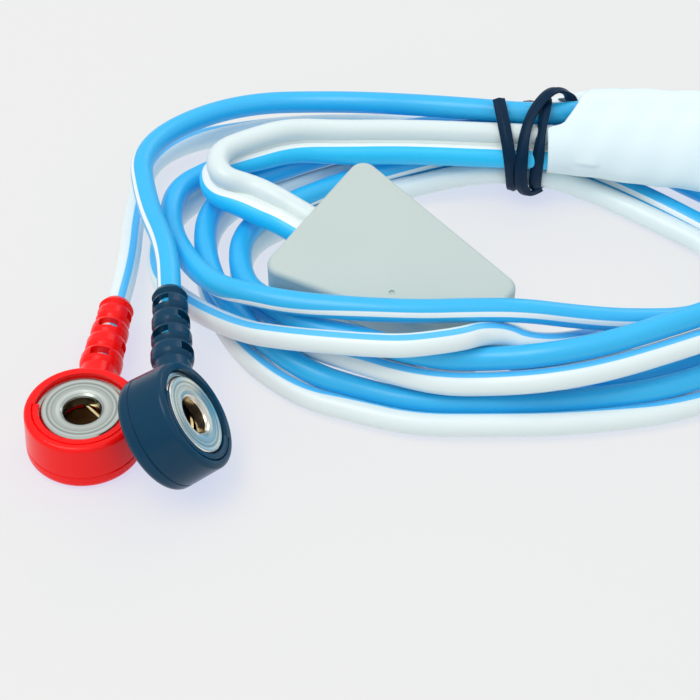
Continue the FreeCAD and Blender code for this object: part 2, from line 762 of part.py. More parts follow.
def tube(label, route, diameter):
    """One unbroken round tube along a route of stations."""
    edges = []
    radii = []
    for (start, start_way), (end, end_way) in zip(route, route[1:]):
        new_edges, new_radii = bend(start, start_way, end, end_way)
        edges += new_edges
        radii += new_radii
    wire = Part.Wire(Part.__sortEdges__(edges))
    profile = Part.Wire([Part.makeCircle(diameter / 2, *route[0])])
    sweep = Part.BRepOffsetAPI.MakePipeShell(wire)
    sweep.add(profile)
    sweep.build()
    sweep.makeSolid()
    feature = doc.addObject("Part::Feature", label)
    feature.Label = label
    feature.Shape = sweep.shape()
    feature.Placement = Placement()
    nodes.append(feature)
    share = feature.Shape.Volume / (math.pi * diameter ** 2 / 4 * wire.Length)
    print(f"{label}: length {wire.Length:.0f}, least radius {min(radii):.1f}, "
          f"self gap {least_gap(wire, diameter):.2f}, volume share {share:.3f}, "
          f"lowest {feature.Shape.optimalBoundingBox(False).ZMin:.2f}")
    assert abs(share - 1) < 0.02, label


def arriving(point, way, run):
    return [(point - way * run, way), (point, way)]


def yoke_exit(end, side):
    """Where a core leaves a clamp inside the yoke, and which way it runs, out of that end."""
    inside = number(dim["cavity_length"]) / 2
    return (yoke_place.multVec(Vector(end * inside, -side * half_pitch, 0)),
            yoke_place.Rotation.multVec(Vector(end, 0, 0)))


def leaving_yoke(end, side):
    point, way = yoke_exit(end, side)
    wall = number(dim["yoke_length"] - dim["cavity_length"]) / 2
    return [(point, way), (point + way * (wall + straight), way)]


def into_boot(placement):
    """Down the boot's bore to the face of the crimp barrel."""
    way = placement.Rotation.multVec(Vector(0, -1, 0))
    seat = placement.multVec(Vector(0, number(dim["crimp_end"]), 0))
    run = number(dim["snap_diameter"] / 2 + dim["boot_length"] - dim["crimp_end"]) + straight
    return arriving(seat, way, run)


coil_rows = COIL_START + [row for turn in COIL_TURNS for row in turn] + [COIL_END]
plug_face = plug_place.Base
leads = {1: ("blue", "black_lead", BLACK_LEAD, black_place),
         -1: ("white", "red_lead", RED_LEAD, red_place)}
for side, (colour, lead, rows, snap_place) in leads.items():
    coil = leaving_yoke(1, side) + stations(coil_rows, side)
    tube(f"coil_{colour}_core", coil, core)
    split = coil[-1]
    boot_run = into_boot(snap_place)
    ends = [tuple(end[0]) + (COIL_END[3],) for end in (split, boot_run[0])]
    route = stations(ends[:1] + rows + ends[1:])
    tube(lead, [split] + route[1:-1] + boot_run, core)
    entry_point = plug_face + lean_offset(0, TRUNK_LEAN) * side
    trunk = leaving_yoke(-1, side) + stations(TRUNK, side) + arriving(entry_point, AXIS_X, straight)
    tube(f"trunk_{colour}_core", trunk, core)

# Twist tie: turns of coated wire round the waist of the hank, each a flat oval with round corners

TIE_CENTRE = Vector(26.3, 35.1, 6.75)
TIE_STEPS = 18
TIE_FIRST = 4
tie_route = []
run_across = number(dim["tie_across"] / 2 - dim["tie_corner"])
run_high = number(dim["tie_high"] / 2 - dim["tie_corner"])
corner = number(dim["tie_corner"])
pitch = number(dim["tie_pitch"])
steps_round = 8
for step in range(TIE_FIRST, TIE_FIRST + TIE_STEPS + 1):
    turn = math.radians(90 * ((step + 1) // 2))
    y_way = -math.sin(turn)
    z_way = math.cos(turn)
    ahead = 1 if step % 2 == 0 else -1
    reach = run_across if abs(y_way) > 0.5 else run_high
    away = run_high if abs(y_way) > 0.5 else run_across
    offset = Vector(pitch * (step - TIE_FIRST) / steps_round,
                    y_way * reach * ahead + z_way * (away + corner),
                    z_way * reach * ahead - y_way * (away + corner))
    climb = pitch / (number(dim["tie_across"] + dim["tie_high"]) * 2)
    tie_route.append((TIE_CENTRE + offset, Vector(climb, y_way, z_way).normalize()))
tube("twist_tie", tie_route, number(dim["tie_diameter"]))

# Paper band: a loose thin sleeve round the trunk, drawn by the middle of its top, back, foot and front

PAPER_ENDS = {33.3: 0.0, 43.0: 0.1, 53.5: 0.05}
PAPER_OVAL = [(27.3, 7.1, 0, 1), (31, 10.9, 1, 0), (32.95, 9, 0, -1), (29.8, 5, -1, 0)]
PAPER_MIDDLE = (30.2, 7.9)
PAPER_START = 28.5
PAPER_SHIFT = -0.045


def paper_section(x, swell, inset):
    """A closed oval of arcs across the band, inset by the paper's thickness for its inner face."""
    middle = Vector(x, *PAPER_MIDDLE)
    drift = PAPER_SHIFT * (x - PAPER_START)
    route = []
    for y, z, y_way, z_way in PAPER_OVAL:
        point = Vector(x, y, z)
        outward = (point - middle).normalize()
        point += outward * (swell - inset) + Vector(0, drift, drift / 2)
        route.append((point, Vector(0, y_way, z_way)))
    edges = []
    for (start, start_way), (end, end_way) in zip(route, route[1:] + route[:1]):
        edges += bend(start, start_way, end, end_way)[0]
    return Part.Wire(Part.__sortEdges__(edges))


paper_faces = []
for inset in (0, number(dim["paper_thick"])):
    sections = [paper_section(x, swell, inset) for x, swell in PAPER_ENDS.items()]
    paper_faces.append(Part.makeLoft(sections, True, False))
paper = doc.addObject("Part::Feature", "paper_band")
paper.Label = "paper_band"
paper.Shape = paper_faces[0].cut(paper_faces[1])
paper.Placement = Placement()
nodes.append(paper)

# Every piece must be whole before any is written

doc.recompute()
for item in doc.Objects:
    assert not {"Invalid", "Error"} & set(item.State), item.Label
for node in nodes:
    assert not node.Shape.isNull() and node.Shape.isValid() and node.Shape.Solids, node.Label

os.makedirs("parts", exist_ok=True)
for node in nodes:
    node.Shape.exportStep(f"parts/{node.Label}.step")
print(f"{len(nodes)} parts written")
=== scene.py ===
# %% [markdown]
# # An ECG snap-lead set, dressed for a studio photograph
#
# The solids come from the CAD model: a grey yoke, two snap connectors and a plug. This lesson adds
# what makes them look real: the striped vinyl cores, the twist tie, the paper band, and the
# finishes of moulded plastic, stamped metal and soft vinyl.

import json
import math

import bmesh
import bpy
from mathutils import Euler, Matrix, Vector


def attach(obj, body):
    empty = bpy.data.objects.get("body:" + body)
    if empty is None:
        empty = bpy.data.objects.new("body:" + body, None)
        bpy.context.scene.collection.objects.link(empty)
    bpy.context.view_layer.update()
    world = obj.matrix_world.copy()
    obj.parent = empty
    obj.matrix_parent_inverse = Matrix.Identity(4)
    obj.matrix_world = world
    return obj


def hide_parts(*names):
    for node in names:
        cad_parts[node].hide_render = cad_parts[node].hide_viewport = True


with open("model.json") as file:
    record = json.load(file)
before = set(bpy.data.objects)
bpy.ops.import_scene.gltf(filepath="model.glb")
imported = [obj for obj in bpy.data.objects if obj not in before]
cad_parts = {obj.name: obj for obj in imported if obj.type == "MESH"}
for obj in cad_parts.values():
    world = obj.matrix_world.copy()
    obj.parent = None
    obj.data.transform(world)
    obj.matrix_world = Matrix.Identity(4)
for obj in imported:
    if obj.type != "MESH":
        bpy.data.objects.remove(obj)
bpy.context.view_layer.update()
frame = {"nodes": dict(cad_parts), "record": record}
nodes = frame["nodes"]
MM = 0.001
BODY = "lead_set"

# %% [markdown]
# ## The camera
#
# The photograph looks down at 45 degrees through a long lens, which is why the loops in the front
# and the back are almost the same size. A constraint could aim the camera. With a single tilt, its
# place follows from the target, the height and the distance, and that is easier to change.

# %% Camera
VIEW_TARGET = Vector((8.5, 3.0, 0.0)) * MM
VIEW_HEIGHT = math.radians(45)
VIEW_DISTANCE = 260 * MM
LENS = 115
SENSOR_WIDE = 36
NEAREST = 10 * MM


def place(name, data):
    """A new object of the scene that holds the data."""
    made = bpy.data.objects.new(name, data)
    bpy.context.scene.collection.objects.link(made)
    return made


scene = bpy.context.scene
scene.view_settings.view_transform = "Standard"
camera = place("camera", bpy.data.cameras.new("camera"))
camera.data.lens = LENS
camera.data.sensor_width = SENSOR_WIDE
camera.data.clip_start = NEAREST
back_off = Vector((0, -math.cos(VIEW_HEIGHT), math.sin(VIEW_HEIGHT)))
camera.location = VIEW_TARGET + back_off * VIEW_DISTANCE
camera.rotation_euler = Euler((math.pi / 2 - VIEW_HEIGHT, 0, 0))
scene.camera = camera
print("camera at", [round(v / MM, 1) for v in camera.location])

# %% [markdown]
# ## The light
#
# The photograph is high-key: a wide soft light from above, and shadows that are only a breath of
# lavender. A picture of a studio could light the scene, but a pale dome that brightens towards its
# top gives the same from two numbers. One large lamp high on the left draws the soft line of gloss
# along each core, and a weak one at the back right lifts the far edges.

# %% Dome
DOME_TOP = 1.02
DOME_RIM = 0.54
DOME_COLOUR = "#F4F6FC"


def linear(colour):
    """An sRGB hex colour as the linear values that a shader works in."""
    parts = [int(colour[i:i + 2], 16) / 255 for i in (1, 3, 5)]
    light = [c / 12.92 if c <= 0.04045 else ((c + 0.055) / 1.055) ** 2.4 for c in parts]
    return (*light, 1.0)


def add(tree, kind, settings=None, inputs=None):
    """Add a node, set its settings, and set or link its inputs."""
    made = tree.nodes.new("ShaderNode" + kind)
    for name, value in (settings or {}).items():
        setattr(made, name, value)
    for name, value in (inputs or {}).items():
        if isinstance(value, bpy.types.NodeSocket):
            tree.links.new(value, made.inputs[name])
        else:
            made.inputs[name].default_value = value
    return made


world = bpy.data.worlds.new("pale_dome")
world.use_nodes = True
scene.world = world
dome = world.node_tree.nodes["Background"]
dome.inputs["Color"].default_value = linear(DOME_COLOUR)
way_up = add(world.node_tree, "SeparateXYZ", inputs={
    "Vector": add(world.node_tree, "TexCoord").outputs["Generated"]})
brighter = add(world.node_tree, "MapRange", inputs={
    "Value": way_up.outputs["Z"], "To Min": DOME_RIM, "To Max": DOME_TOP})
world.node_tree.links.new(brighter.outputs[0], dome.inputs["Strength"])
print("dome from", DOME_RIM, "at its rim to", DOME_TOP, "at its top")


# %% Lamps
def lamp(name, place_mm, size_mm, watts, colour):
    """A square soft lamp, aimed at the middle of the picture."""
    data = bpy.data.lights.new(name, "AREA")
    data.size = size_mm * MM
    data.energy = watts
    data.color = linear(colour)[:3]
    made = place(name, data)
    made.location = Vector(place_mm) * MM
    made.rotation_euler = (VIEW_TARGET - made.location).to_track_quat("-Z", "Y").to_euler()
    print(f"{name}: {watts} W, {size_mm} mm wide")


lamp("key_lamp", place_mm=(-160, -60, 420), size_mm=260, watts=0.75, colour="#FFFBF4")
lamp("rim_lamp", place_mm=(200, 330, 260), size_mm=220, watts=0.2, colour="#F4F8FF")

# %% [markdown]
# ## The floor
#
# The set lies on a pale paper sweep whose edges are out of sight. A curved sweep could be modelled,
# but from this height the camera sees only its flat part. Bright paper between large lamps hardly
# shows a shadow, so most of its light is a glow of its own, and a weak paint under that takes what
# shadow there is.

# %% Floor
FLOOR_SIZE = 4.0
FLOOR_DROP = 0.05
SWEEP_PAINT = "#897F38"
SWEEP_GLOW = "#C8CFE9"
SWEEP_ROUGH = 0.9

floor_mesh = bpy.data.meshes.new("floor")
sweep = bmesh.new()
bmesh.ops.create_grid(sweep, x_segments=2, y_segments=2, size=FLOOR_SIZE / 2)
sweep.to_mesh(floor_mesh)
sweep.free()
floor = place("floor", floor_mesh)
floor.location.z = -FLOOR_DROP * MM

paint = bpy.data.materials.new("pale_sweep")
paint.use_nodes = True
coat = paint.node_tree.nodes["Principled BSDF"]
coat.inputs["Base Color"].default_value = linear(SWEEP_PAINT)
coat.inputs["Roughness"].default_value = SWEEP_ROUGH
coat.inputs["Specular IOR Level"].default_value = 0.0
coat.inputs["Emission Color"].default_value = linear(SWEEP_GLOW)
coat.inputs["Emission Strength"].default_value = 1.0
floor_mesh.materials.append(paint)
print("floor of", FLOOR_SIZE, "by", FLOOR_SIZE, "m")

# %% [markdown]
# ## The route of the cable
#
# A cable designer settles a route as stations: a place, a heading, and for the twin cable the lean
# of the blue core from straight above the white one. The twin's cores could have a list each, but
# from one list they stay side by side, and only the leads after the split have their own. The same
# stations drive the CAD tubes, so the dressed cores lie where the solids are.

# %% Stations of the hank, the leads and the trunk
# Each row: x, y and z in millimetres, then the heading and the lean in degrees. On a lead, which is
# a single core, the lean only turns the stripe.
COIL = [
    (36.5, -2, 1.6, 0, -90), (55.5, 12, 1.6, 90, -90), (42.5, 28.2, 1.6, 143, -88),
    (28.5, 31.3, 4.4, 178, -72), (10.5, 28.4, 2.9, 205, -45), (-4.5, 14, 3, 270, 0),
    (2.1, 1.3, 5.4, -45, 5), (12, -4.2, 6.2, -24, 30), (21.5, -6.4, 6, 0, 45),
    (32.5, -7, 7.8, 7, 45), (48, -2.6, 9.3, 24, 45), (65.5, 13, 7, 90, 45),
    (51.5, 29.6, 2.1, 143, 60), (40, 34, 3.9, 166, 18), (28.5, 35.2, 5.8, 180, 19),
    (9.5, 33, 3.8, 197, -15), (-8.8, 18, 3, 270, 0), (0.9, -2.6, 2.4, -43, 45),
    (12.5, -7.8, 1.8, -17, 76), (26.5, -8.9, 1.7, 1, 80), (52.5, -3.6, 2.5, 30, 40),
    (71.5, 13, 2.7, 90, -15), (61.5, 30.5, 2.1, 120, -62), (49.5, 38.4, 2.3, 165, -52),
    (39, 38.8, 3.5, 184, -25), (28.5, 38.3, 4, 187, -10)]
BLACK_LEAD = [
    (10.5, 36.4, 4.8, 191, 0), (-6, 31.2, 4.7, 212, 15), (-13, 23, 4.9, 268, 40),
    (-8, 7.2, 7.6, -56, 85), (-1.5, 2.1, 9.4, -24, 128), (14, -1.6, 10.8, -4, 152),
    (24.5, -1.6, 10.9, 0, 152), (36.5, -0.8, 8.8, 3, 152), (44, 0.2, 7.6, 8, 154),
    (51.5, 3.6, 6.9, 38, 157), (56, 11, 9.2, 68, 160), (57.5, 19, 10, 89, 160),
    (56.5, 28.5, 11.6, 106, 165), (49, 35.6, 9.2, 165, 170), (28.5, 34.5, 9.9, 172, 170),
    (0.5, 40.8, 6.4, 182, 162), (-16.4, 23.8, 7.8, 279, 164)]
RED_LEAD = [
    (10.5, 36.6, 1.6, 191, -20), (-6.5, 31, 1.5, 213, -10), (-14.5, 18, 1.5, 270, 10),
    (-5.5, 2.1, 5, -42, 30), (3.5, -3.4, 8, -20, 36), (12.5, -5.9, 9.6, -8, 36),
    (19.5, -5.5, 10, 12, 36), (24.5, -3.2, 8.8, 14, 36), (30, -3.1, 7, 14, 38),
    (40.5, 1.8, 4.6, 18, 40), (50, 5, 4.5, 32, 42), (58.5, 12, 5.6, 60, 46),
    (62, 21, 10.5, 92, 50), (60.5, 29.5, 11.6, 106, 54), (51.5, 39.5, 6.8, 170, 20),
    (40, 42.2, 5.7, 180, -15), (28.5, 41.1, 3.6, 183, -20), (8.5, 41, 2.6, 178, -20),
    (-17.5, 29, 1.8, 264, 62)]
TRUNK = [
    (-2, 19.2, 8.5, 145, 118), (-7.8, 24, 9, 96, 160), (-1.5, 29.2, 8.9, 25, 205),
    (10.5, 30.8, 8.2, 2, 225), (28.5, 30.2, 8.1, -3, 225), (54.5, 28.8, 7.4, -2, 225)]
TRUNK_LEAN = 225
# Where the trunk bends away from the yoke, its colours turn a little apart from its lean.
TRUNK_STRIPE = (146, 172, 205, 225, 225, 225)
print(len(COIL), "stations in the hank,", len(BLACK_LEAD) + len(RED_LEAD), "in the leads")

# %% [markdown]
# ## From stations to a line
#
# A NURBS line runs smoothly inside its control points. Between two stations the cable bends as a
# pair of arcs would, so it has two corners there: one an arm ahead of the first station and one an
# arm behind the second, with a run of two arms between them. A Bezier line could pass through the
# stations themselves, but each of its handles would need a length of its own.

# %% Places and ways of the stations
CORE_PITCH = 2.8
STRAIGHT = 2.6
YOKE_CENTRE = Vector((14.4, 7.8, 6.4))
YOKE_TILT = math.radians(11.4)
YOKE_SWING = math.radians(-35.6)
YOKE_TURN = Matrix.Rotation(YOKE_TILT, 3, "X") @ Matrix.Rotation(YOKE_SWING, 3, "Z")
YOKE_REACH = 11.4
YOKE_WALL = 1.4
UP = Vector((0, 0, 1))


def along(heading, slope=0.0):
    """The way of a heading that climbs by a slope."""
    turn = math.radians(heading)
    return Vector((math.cos(turn), math.sin(turn), slope)).normalized()


def lean_offset(heading, lean):
    """From the twin's middle to its blue core."""
    tip = math.radians(lean)
    return (UP.cross(along(heading)) * math.sin(tip) + UP * math.cos(tip)) * CORE_PITCH / 2


def climb(rows, i):
    """How steeply the cable rises at a station: level at the ends and at tops and bottoms."""
    if i in (0, len(rows) - 1):
        return 0.0
    runs = zip(rows[i - 1:i + 1], rows[i:i + 2])
    rises = [(end[2] - start[2]) / math.dist(start[:2], end[:2]) for start, end in runs]
    if rises[0] * rises[1] <= 0:
        return 0.0
    return 2 * rises[0] * rises[1] / sum(rises)


def stations(rows, side=0):
    """Place, way and lean of one core; side is 1 for the blue core and -1 for the white."""
    found = []
    for i, row in enumerate(rows):
        spot = Vector(row[:3]) + lean_offset(row[3], row[4]) * side
        found.append((spot, along(row[3], climb(rows, i)), row[4]))
    return found


def from_yoke(end, side, lean):
    """Out of the yoke's wall, straight for a core's width."""
    way = YOKE_TURN @ Vector((end, 0, 0))
    spot = YOKE_CENTRE + YOKE_TURN @ Vector((end * YOKE_REACH, -side * CORE_PITCH / 2, 0))
    return [(spot, way, lean), (spot + way * (YOKE_WALL + STRAIGHT), way, lean)]


print("blue core leaves the yoke at", [round(v, 1) for v in from_yoke(1, 1, 0)[0][0]])


# %% Corners of the line
def control_points(route):
    """Two corners between each pair of stations, in metres and with their lean."""
    corners = [(route[0][0] * MM, route[0][2])]
    for (start, start_way, start_lean), (end, end_way, end_lean) in zip(route, route[1:]):
        chord = end - start
        reach = chord.dot(start_way + end_way)
        spread = 2 * (1 - start_way.dot(end_way))
        arm = chord.length_squared / (reach + math.sqrt(reach ** 2 + spread * chord.length_squared))
        corners.append(((start + start_way * arm) * MM, start_lean))
        corners.append(((end - end_way * arm) * MM, end_lean))
    corners.append((route[-1][0] * MM, route[-1][2]))
    return corners


print(len(control_points(stations(TRUNK))), "corners for", len(TRUNK), "stations of the trunk")

# %% [markdown]
# ## Where the leads and the trunk end
#
# Each lead goes down the bore of its boot to the crimp, and the trunk goes into the plug. These ends
# have to be straight and in line with the solids, so they are worked out from the snaps and the
# plug, and not listed one by one as the loops are.

# %% Ends and whole routes
# Each snap: its middle, the way its boot points and the way a stud is pressed out.
BOOTS = {
    "black": (Vector((-10.4, -15.5, 7.0)), Vector((-0.11, 0.99, 0.05)),
              Vector((0.815, 0.030, 0.579))),
    "red": (Vector((-20.9, -12.0, 3.05)), Vector((0.117, 0.993, 0)), Vector((0, 0, 1)))}
CRIMP_FACE = 6.9
BOOT_END = 19.25
PLUG_ENTRY = Vector((66.5, 29.0, 6.8))
PLUG_WAY = Vector((1, 0, 0))
TO_THE_FRONT = 270


def into_boot(colour, lean):
    """Down the boot's bore to the face of the crimp barrel."""
    middle, boot, press = BOOTS[colour]
    press = press.normalized()
    way = -press.cross(boot.cross(press).normalized())
    seat = middle - way * CRIMP_FACE
    return [(seat - way * (BOOT_END - CRIMP_FACE + STRAIGHT), way, lean), (seat, way, lean)]


def trunk_line(side):
    """From the yoke's back end round to the plug; side 0 is the middle of the twin."""
    entry = PLUG_ENTRY + lean_offset(0, TRUNK_LEAN) * side
    into_plug = [(entry - PLUG_WAY * STRAIGHT, PLUG_WAY, TRUNK_LEAN), (entry, PLUG_WAY, TRUNK_LEAN)]
    striped = [(spot, way, turn)
               for (spot, way, lean), turn in zip(stations(TRUNK, side), TRUNK_STRIPE)]
    return control_points(from_yoke(-1, side, TRUNK_STRIPE[0]) + striped + into_plug)


cores = {}
for side, colour, rows, snap in ((1, "blue", BLACK_LEAD, "black"), (-1, "white", RED_LEAD, "red")):
    last_lean = rows[-1][4]
    boot_run = into_boot(snap, last_lean)
    coil = from_yoke(1, side, COIL[0][4]) + stations(COIL, side)
    ends = [(*coil[-1][0], COIL[-1][3], COIL[-1][4]), (*boot_run[0][0], TO_THE_FRONT, last_lean)]
    lead = stations(ends[:1] + rows + ends[1:])[1:-1]
    cores[colour + "_core"] = control_points(coil + lead + boot_run)
    cores["trunk_" + colour] = trunk_line(side)
for name, corners in cores.items():
    print(name, "has", len(corners), "control points")

# %% [markdown]
# ## Striped cores
#
# Each core is extruded vinyl with a stripe of the other colour run in along its length. Rings could
# be bridged into a tube, but a curve with a round bevel makes the tube and its UV map in one go: u
# runs along the core and v runs round it. With the curve's up direction held to Z, the tilt of each
# control point is simply the lean of the cable there, so the stripe turns with the twin just as it
# was extruded. The trunk's two cores are still joined, so a slimmer white line between them makes
# the web that holds them together.

# %% NURBS lines with tilt, and their meshes
SPAN_STEPS = 14


def add_line(data, corners, share=1.0):
    """A NURBS line inside a route's corners; order and end points are set after the points."""
    spline = data.splines.new("NURBS")
    spline.points.add(len(corners) - 1)
    for point, (spot, lean) in zip(spline.points, corners):
        point.co = (*spot, 1.0)
        point.tilt = -math.radians(lean)
        point.radius = share
    spline.order_u = 3
    spline.use_endpoint_u = True


def nurbs_line(name, corners):
    """A curve that holds one such line."""
    data = bpy.data.curves.new(name, "CURVE")
    data.dimensions = "3D"
    data.twist_mode = "Z_UP"
    data.resolution_u = SPAN_STEPS
    add_line(data, corners)
    return data


def as_mesh(data, name):
    """The mesh that a curve gives."""
    holder = place(name + "_line", data)
    bpy.context.view_layer.update()
    seen = holder.evaluated_get(bpy.context.evaluated_depsgraph_get())
    mesh = bpy.data.meshes.new_from_object(seen)
    bpy.data.objects.remove(holder)
    mesh.name = name
    return mesh


print("each span of a line has", SPAN_STEPS, "steps")

# %% Cores
CORE_DIAMETER = 2.72
RING_STEPS = 10
RING_SIDES = 2 * RING_STEPS + 4
WEB_SHARE = 0.5


def core_piece(name, corners, diameter, web=None):
    """A striped core, and the points of its line; the web is the thin bridge to the other core."""
    data = nurbs_line(name, corners)
    path = [tuple(v.co) for v in as_mesh(data, name + "_path").vertices]
    if web:
        add_line(data, web, WEB_SHARE)
    data.bevel_depth = diameter / 2 * MM
    data.bevel_resolution = RING_STEPS
    data.use_fill_caps = True
    piece = place(name, as_mesh(data, name))
    for face in piece.data.polygons:
        face.use_smooth = True
    bpy.data.curves.remove(data)
    length = sum(math.dist(start, end) for start, end in zip(path, path[1:]))
    print(f"{name}: {length / MM:.0f} mm, {len(piece.data.polygons)} faces")
    return piece, path, length


webs = {"trunk_white": trunk_line(0)}
dressed = {}
for name, corners in cores.items():
    dressed[name] = core_piece(name, corners, CORE_DIAMETER, webs.get(name))

# %% [markdown]
# ## Extruded vinyl, striped
#
# Soft vinyl (PVC) comes off the extruder with a satin skin, a faint grain and a little light under
# its surface. The stripe is run in beside the main colour, so its edges are soft but true. It could
# be a mesh of its own, but a band of the UV map can't come loose from the core: v counts turns round
# it, so the stripe is a band of v, placed from the face that touches the other core.

# %% Stripe along a core
FACING = 0.25 - 1 / RING_SIDES
OPPOSITE = FACING + 0.5
CORE_ROUND = math.pi * CORE_DIAMETER
STRIPE_SOFT = 0.12


def stripe_mask(tree, centre, wide_mm, soft_mm):
    """One inside a stripe of the core, nought outside it."""
    v = add(tree, "SeparateXYZ", inputs={"Vector": add(tree, "UVMap").outputs["UV"]}).outputs["Y"]
    turn = add(tree, "Math", {"operation": "WRAP"}, {0: v, 1: centre + 0.5, 2: centre - 0.5})
    away = add(tree, "Math", {"operation": "SUBTRACT"}, {0: turn.outputs[0], 1: centre})
    span = add(tree, "Math", {"operation": "ABSOLUTE"}, {0: away.outputs[0]})
    edge = wide_mm / 2 / CORE_ROUND
    soft = soft_mm / 2 / CORE_ROUND
    return add(tree, "MapRange", {"interpolation_type": "SMOOTHSTEP"}, {
        "Value": span.outputs[0], "From Min": edge - soft, "From Max": edge + soft,
        "To Min": 1.0, "To Max": 0.0}).outputs[0]


print(f"one turn of v is {CORE_ROUND:.1f} mm round a core")

# %% Skin of the vinyl
# The drift is the slow change of an extruder's colour. The grain is the roughness of the skin, which
# is really about 0.2 mm and is drawn coarser so that it shows.
DRIFT_MM = 11.0
GRAIN_MM = 1.1
GRAIN_DEEP = 0.05
GRAIN_STRENGTH = 0.06
VINYL_GLOSS = (0.26, 0.40)
VINYL_IOR = 1.53
# How far red, green and blue light spread under the skin, in millimetres.
GLOW_REACH = (0.6, 0.8, 1.0)
# A Mix node has several sockets of one name, so those of its colours are picked by number.
FACTOR, FIRST, SECOND, MIXED = 0, 6, 7, 2


def new_material(name):
    """A material with a bare Principled shader, and its tree."""
    made = bpy.data.materials.new(name)
    made.use_nodes = True
    return made, made.node_tree, made.node_tree.nodes["Principled BSDF"]


def striped_vinyl(name, main, shade, stripes, glow):
    """Extruded vinyl: a main colour that drifts a little to its shade, and stripes over it."""
    made, tree, skin = new_material(name)
    coords = add(tree, "TexCoord").outputs["Object"]
    drift = add(tree, "TexNoise", inputs={
        "Vector": coords, "Scale": 1000 / DRIFT_MM, "Detail": 2.0})
    colour = add(tree, "Mix", {"data_type": "RGBA"}, {
        FACTOR: drift.outputs["Fac"], FIRST: linear(main), SECOND: linear(shade)}).outputs[MIXED]
    for centre, wide, hue in stripes:
        mask = stripe_mask(tree, centre, wide, STRIPE_SOFT)
        colour = add(tree, "Mix", {"data_type": "RGBA"}, {
            FACTOR: mask, FIRST: colour, SECOND: linear(hue)}).outputs[MIXED]
    tree.links.new(colour, skin.inputs["Base Color"])
    grain = add(tree, "TexNoise", inputs={
        "Vector": coords, "Scale": 1000 / GRAIN_MM, "Detail": 3.0})
    gloss = add(tree, "MapRange", inputs={
        "Value": grain.outputs["Fac"], "To Min": VINYL_GLOSS[0], "To Max": VINYL_GLOSS[1]})
    tree.links.new(gloss.outputs[0], skin.inputs["Roughness"])
    dimple = add(tree, "Bump", inputs={
        "Height": grain.outputs["Fac"], "Strength": GRAIN_STRENGTH, "Distance": GRAIN_DEEP * MM})
    tree.links.new(dimple.outputs[0], skin.inputs["Normal"])
    skin.inputs["IOR"].default_value = VINYL_IOR
    skin.inputs["Subsurface Weight"].default_value = glow
    skin.inputs["Subsurface Radius"].default_value = tuple(reach * MM for reach in GLOW_REACH)
    skin.inputs["Subsurface Scale"].default_value = 1.0
    return made


print("the vinyl's roughness runs from", VINYL_GLOSS[0], "to", VINYL_GLOSS[1])

# %% Colours and stripes of the four cores
# A long core's stripe sits this share of a turn past the face that it is placed from.
STRIPE_TURN = 0.111
WHITE_STRIPE = "#F2FAFA"
BLUE_STRIPE = "#56C4F8"
BLUE_GLOW = 0.05
WHITE_GLOW = 0.1
# Each stripe: its place in turns, its width in millimetres and its colour.
VINYLS = {
    "blue_core": striped_vinyl("blue_extruded_vinyl", "#30C0F4", "#28B4EE",
                               [(OPPOSITE + STRIPE_TURN, 0.62, WHITE_STRIPE)], BLUE_GLOW),
    "white_core": striped_vinyl("white_extruded_vinyl", "#EBF8F6", "#E4F1F1",
                                [(FACING + STRIPE_TURN, 0.9, BLUE_STRIPE)], WHITE_GLOW),
    "trunk_blue": striped_vinyl("azure_trunk_vinyl", "#22CEFF", "#1CC4FE",
                                [(OPPOSITE, 2.6, WHITE_STRIPE)], BLUE_GLOW),
    # The trunk's white is the white vinyl painted darker, as shade, since its top lies right under
    # the key lamp.
    "trunk_white": striped_vinyl("white_vinyl_painted_darker", "#E2F0EE", "#DBE9E8", [], WHITE_GLOW)}

for name, (piece, path, length) in dressed.items():
    piece.data.materials.clear()
    piece.data.materials.append(VINYLS[name])
    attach(piece, BODY)
print(len(VINYLS), "vinyls on", len(dressed), "cores")

# %% [markdown]
# ## The cores in place of the CAD tubes
#
# The two long cores come out of the yoke and go back into the object, at the snaps. The trunk's
# cores end in the plug, which belongs to them. The CAD tubes that the cores stand for are hidden.

CORE_ENDS = {
    "blue_core": ("coil_blue_core", "black_lead"),
    "white_core": ("coil_white_core", "red_lead")}
for name, replaced in CORE_ENDS.items():
    piece, path, length = dressed[name]
    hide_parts(*replaced)
for name in ("trunk_blue", "trunk_white"):
    piece, path, length = dressed[name]
    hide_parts(name + "_core")
print("cores:", round(sum(length for piece, path, length in dressed.values()) / MM), "mm in all")

# %% [markdown]
# ## The twist tie
#
# A twist tie is a ribbon of black plastic with a soft wire along its middle. From a cut end it goes
# down in front of the hank, under it, up behind and over, twice, and the last pass stands off the
# hank in an arch. A curve with a flat bevel could make the ribbon, but its face would turn where the
# route turns steep. So rings are set along the line, with the face turned away from the hank apart
# from one place where a hand has twisted it, and they are bridged.

# %% Route and section of the tie
TIE_ROUTE = [
    (26.7, 34.3, 12.1), (27, 32.4, 11.5), (27.4, 29.9, 10.5), (27.9, 27.7, 8.4), (28.3, 27.8, 5.2),
    (28.6, 28.4, 2.4), (29.2, 31, 1.3), (29.8, 37, 0.8), (30.4, 42.4, 1.2), (31, 43.2, 4.6),
    (31.7, 39.9, 6.8), (32.4, 37.3, 9.1), (32.6, 35.2, 11.7), (32.3, 32.8, 11.7), (31.8, 30.4, 10.6),
    (31.4, 28, 8.7), (31.2, 27.7, 5.4), (31.3, 28.3, 2.5), (32.2, 31.4, 1), (33.2, 37, 0.7),
    (34.2, 42.4, 1), (35.2, 43.2, 4.6), (36, 40.2, 7.4), (36.2, 37.6, 9), (35.3, 36.4, 11.6),
    (33.2, 35, 13.2), (30.9, 32.6, 12), (29.7, 29.8, 10.6), (29.3, 27.3, 8.1), (29.4, 27.2, 4.8),
    (29.9, 27.8, 2.8), (31, 28.2, 2), (32.2, 28.6, 2.6)]
TIE_WIDE = 1.55
TIE_THICK = 0.34
TIE_SIDES = 16
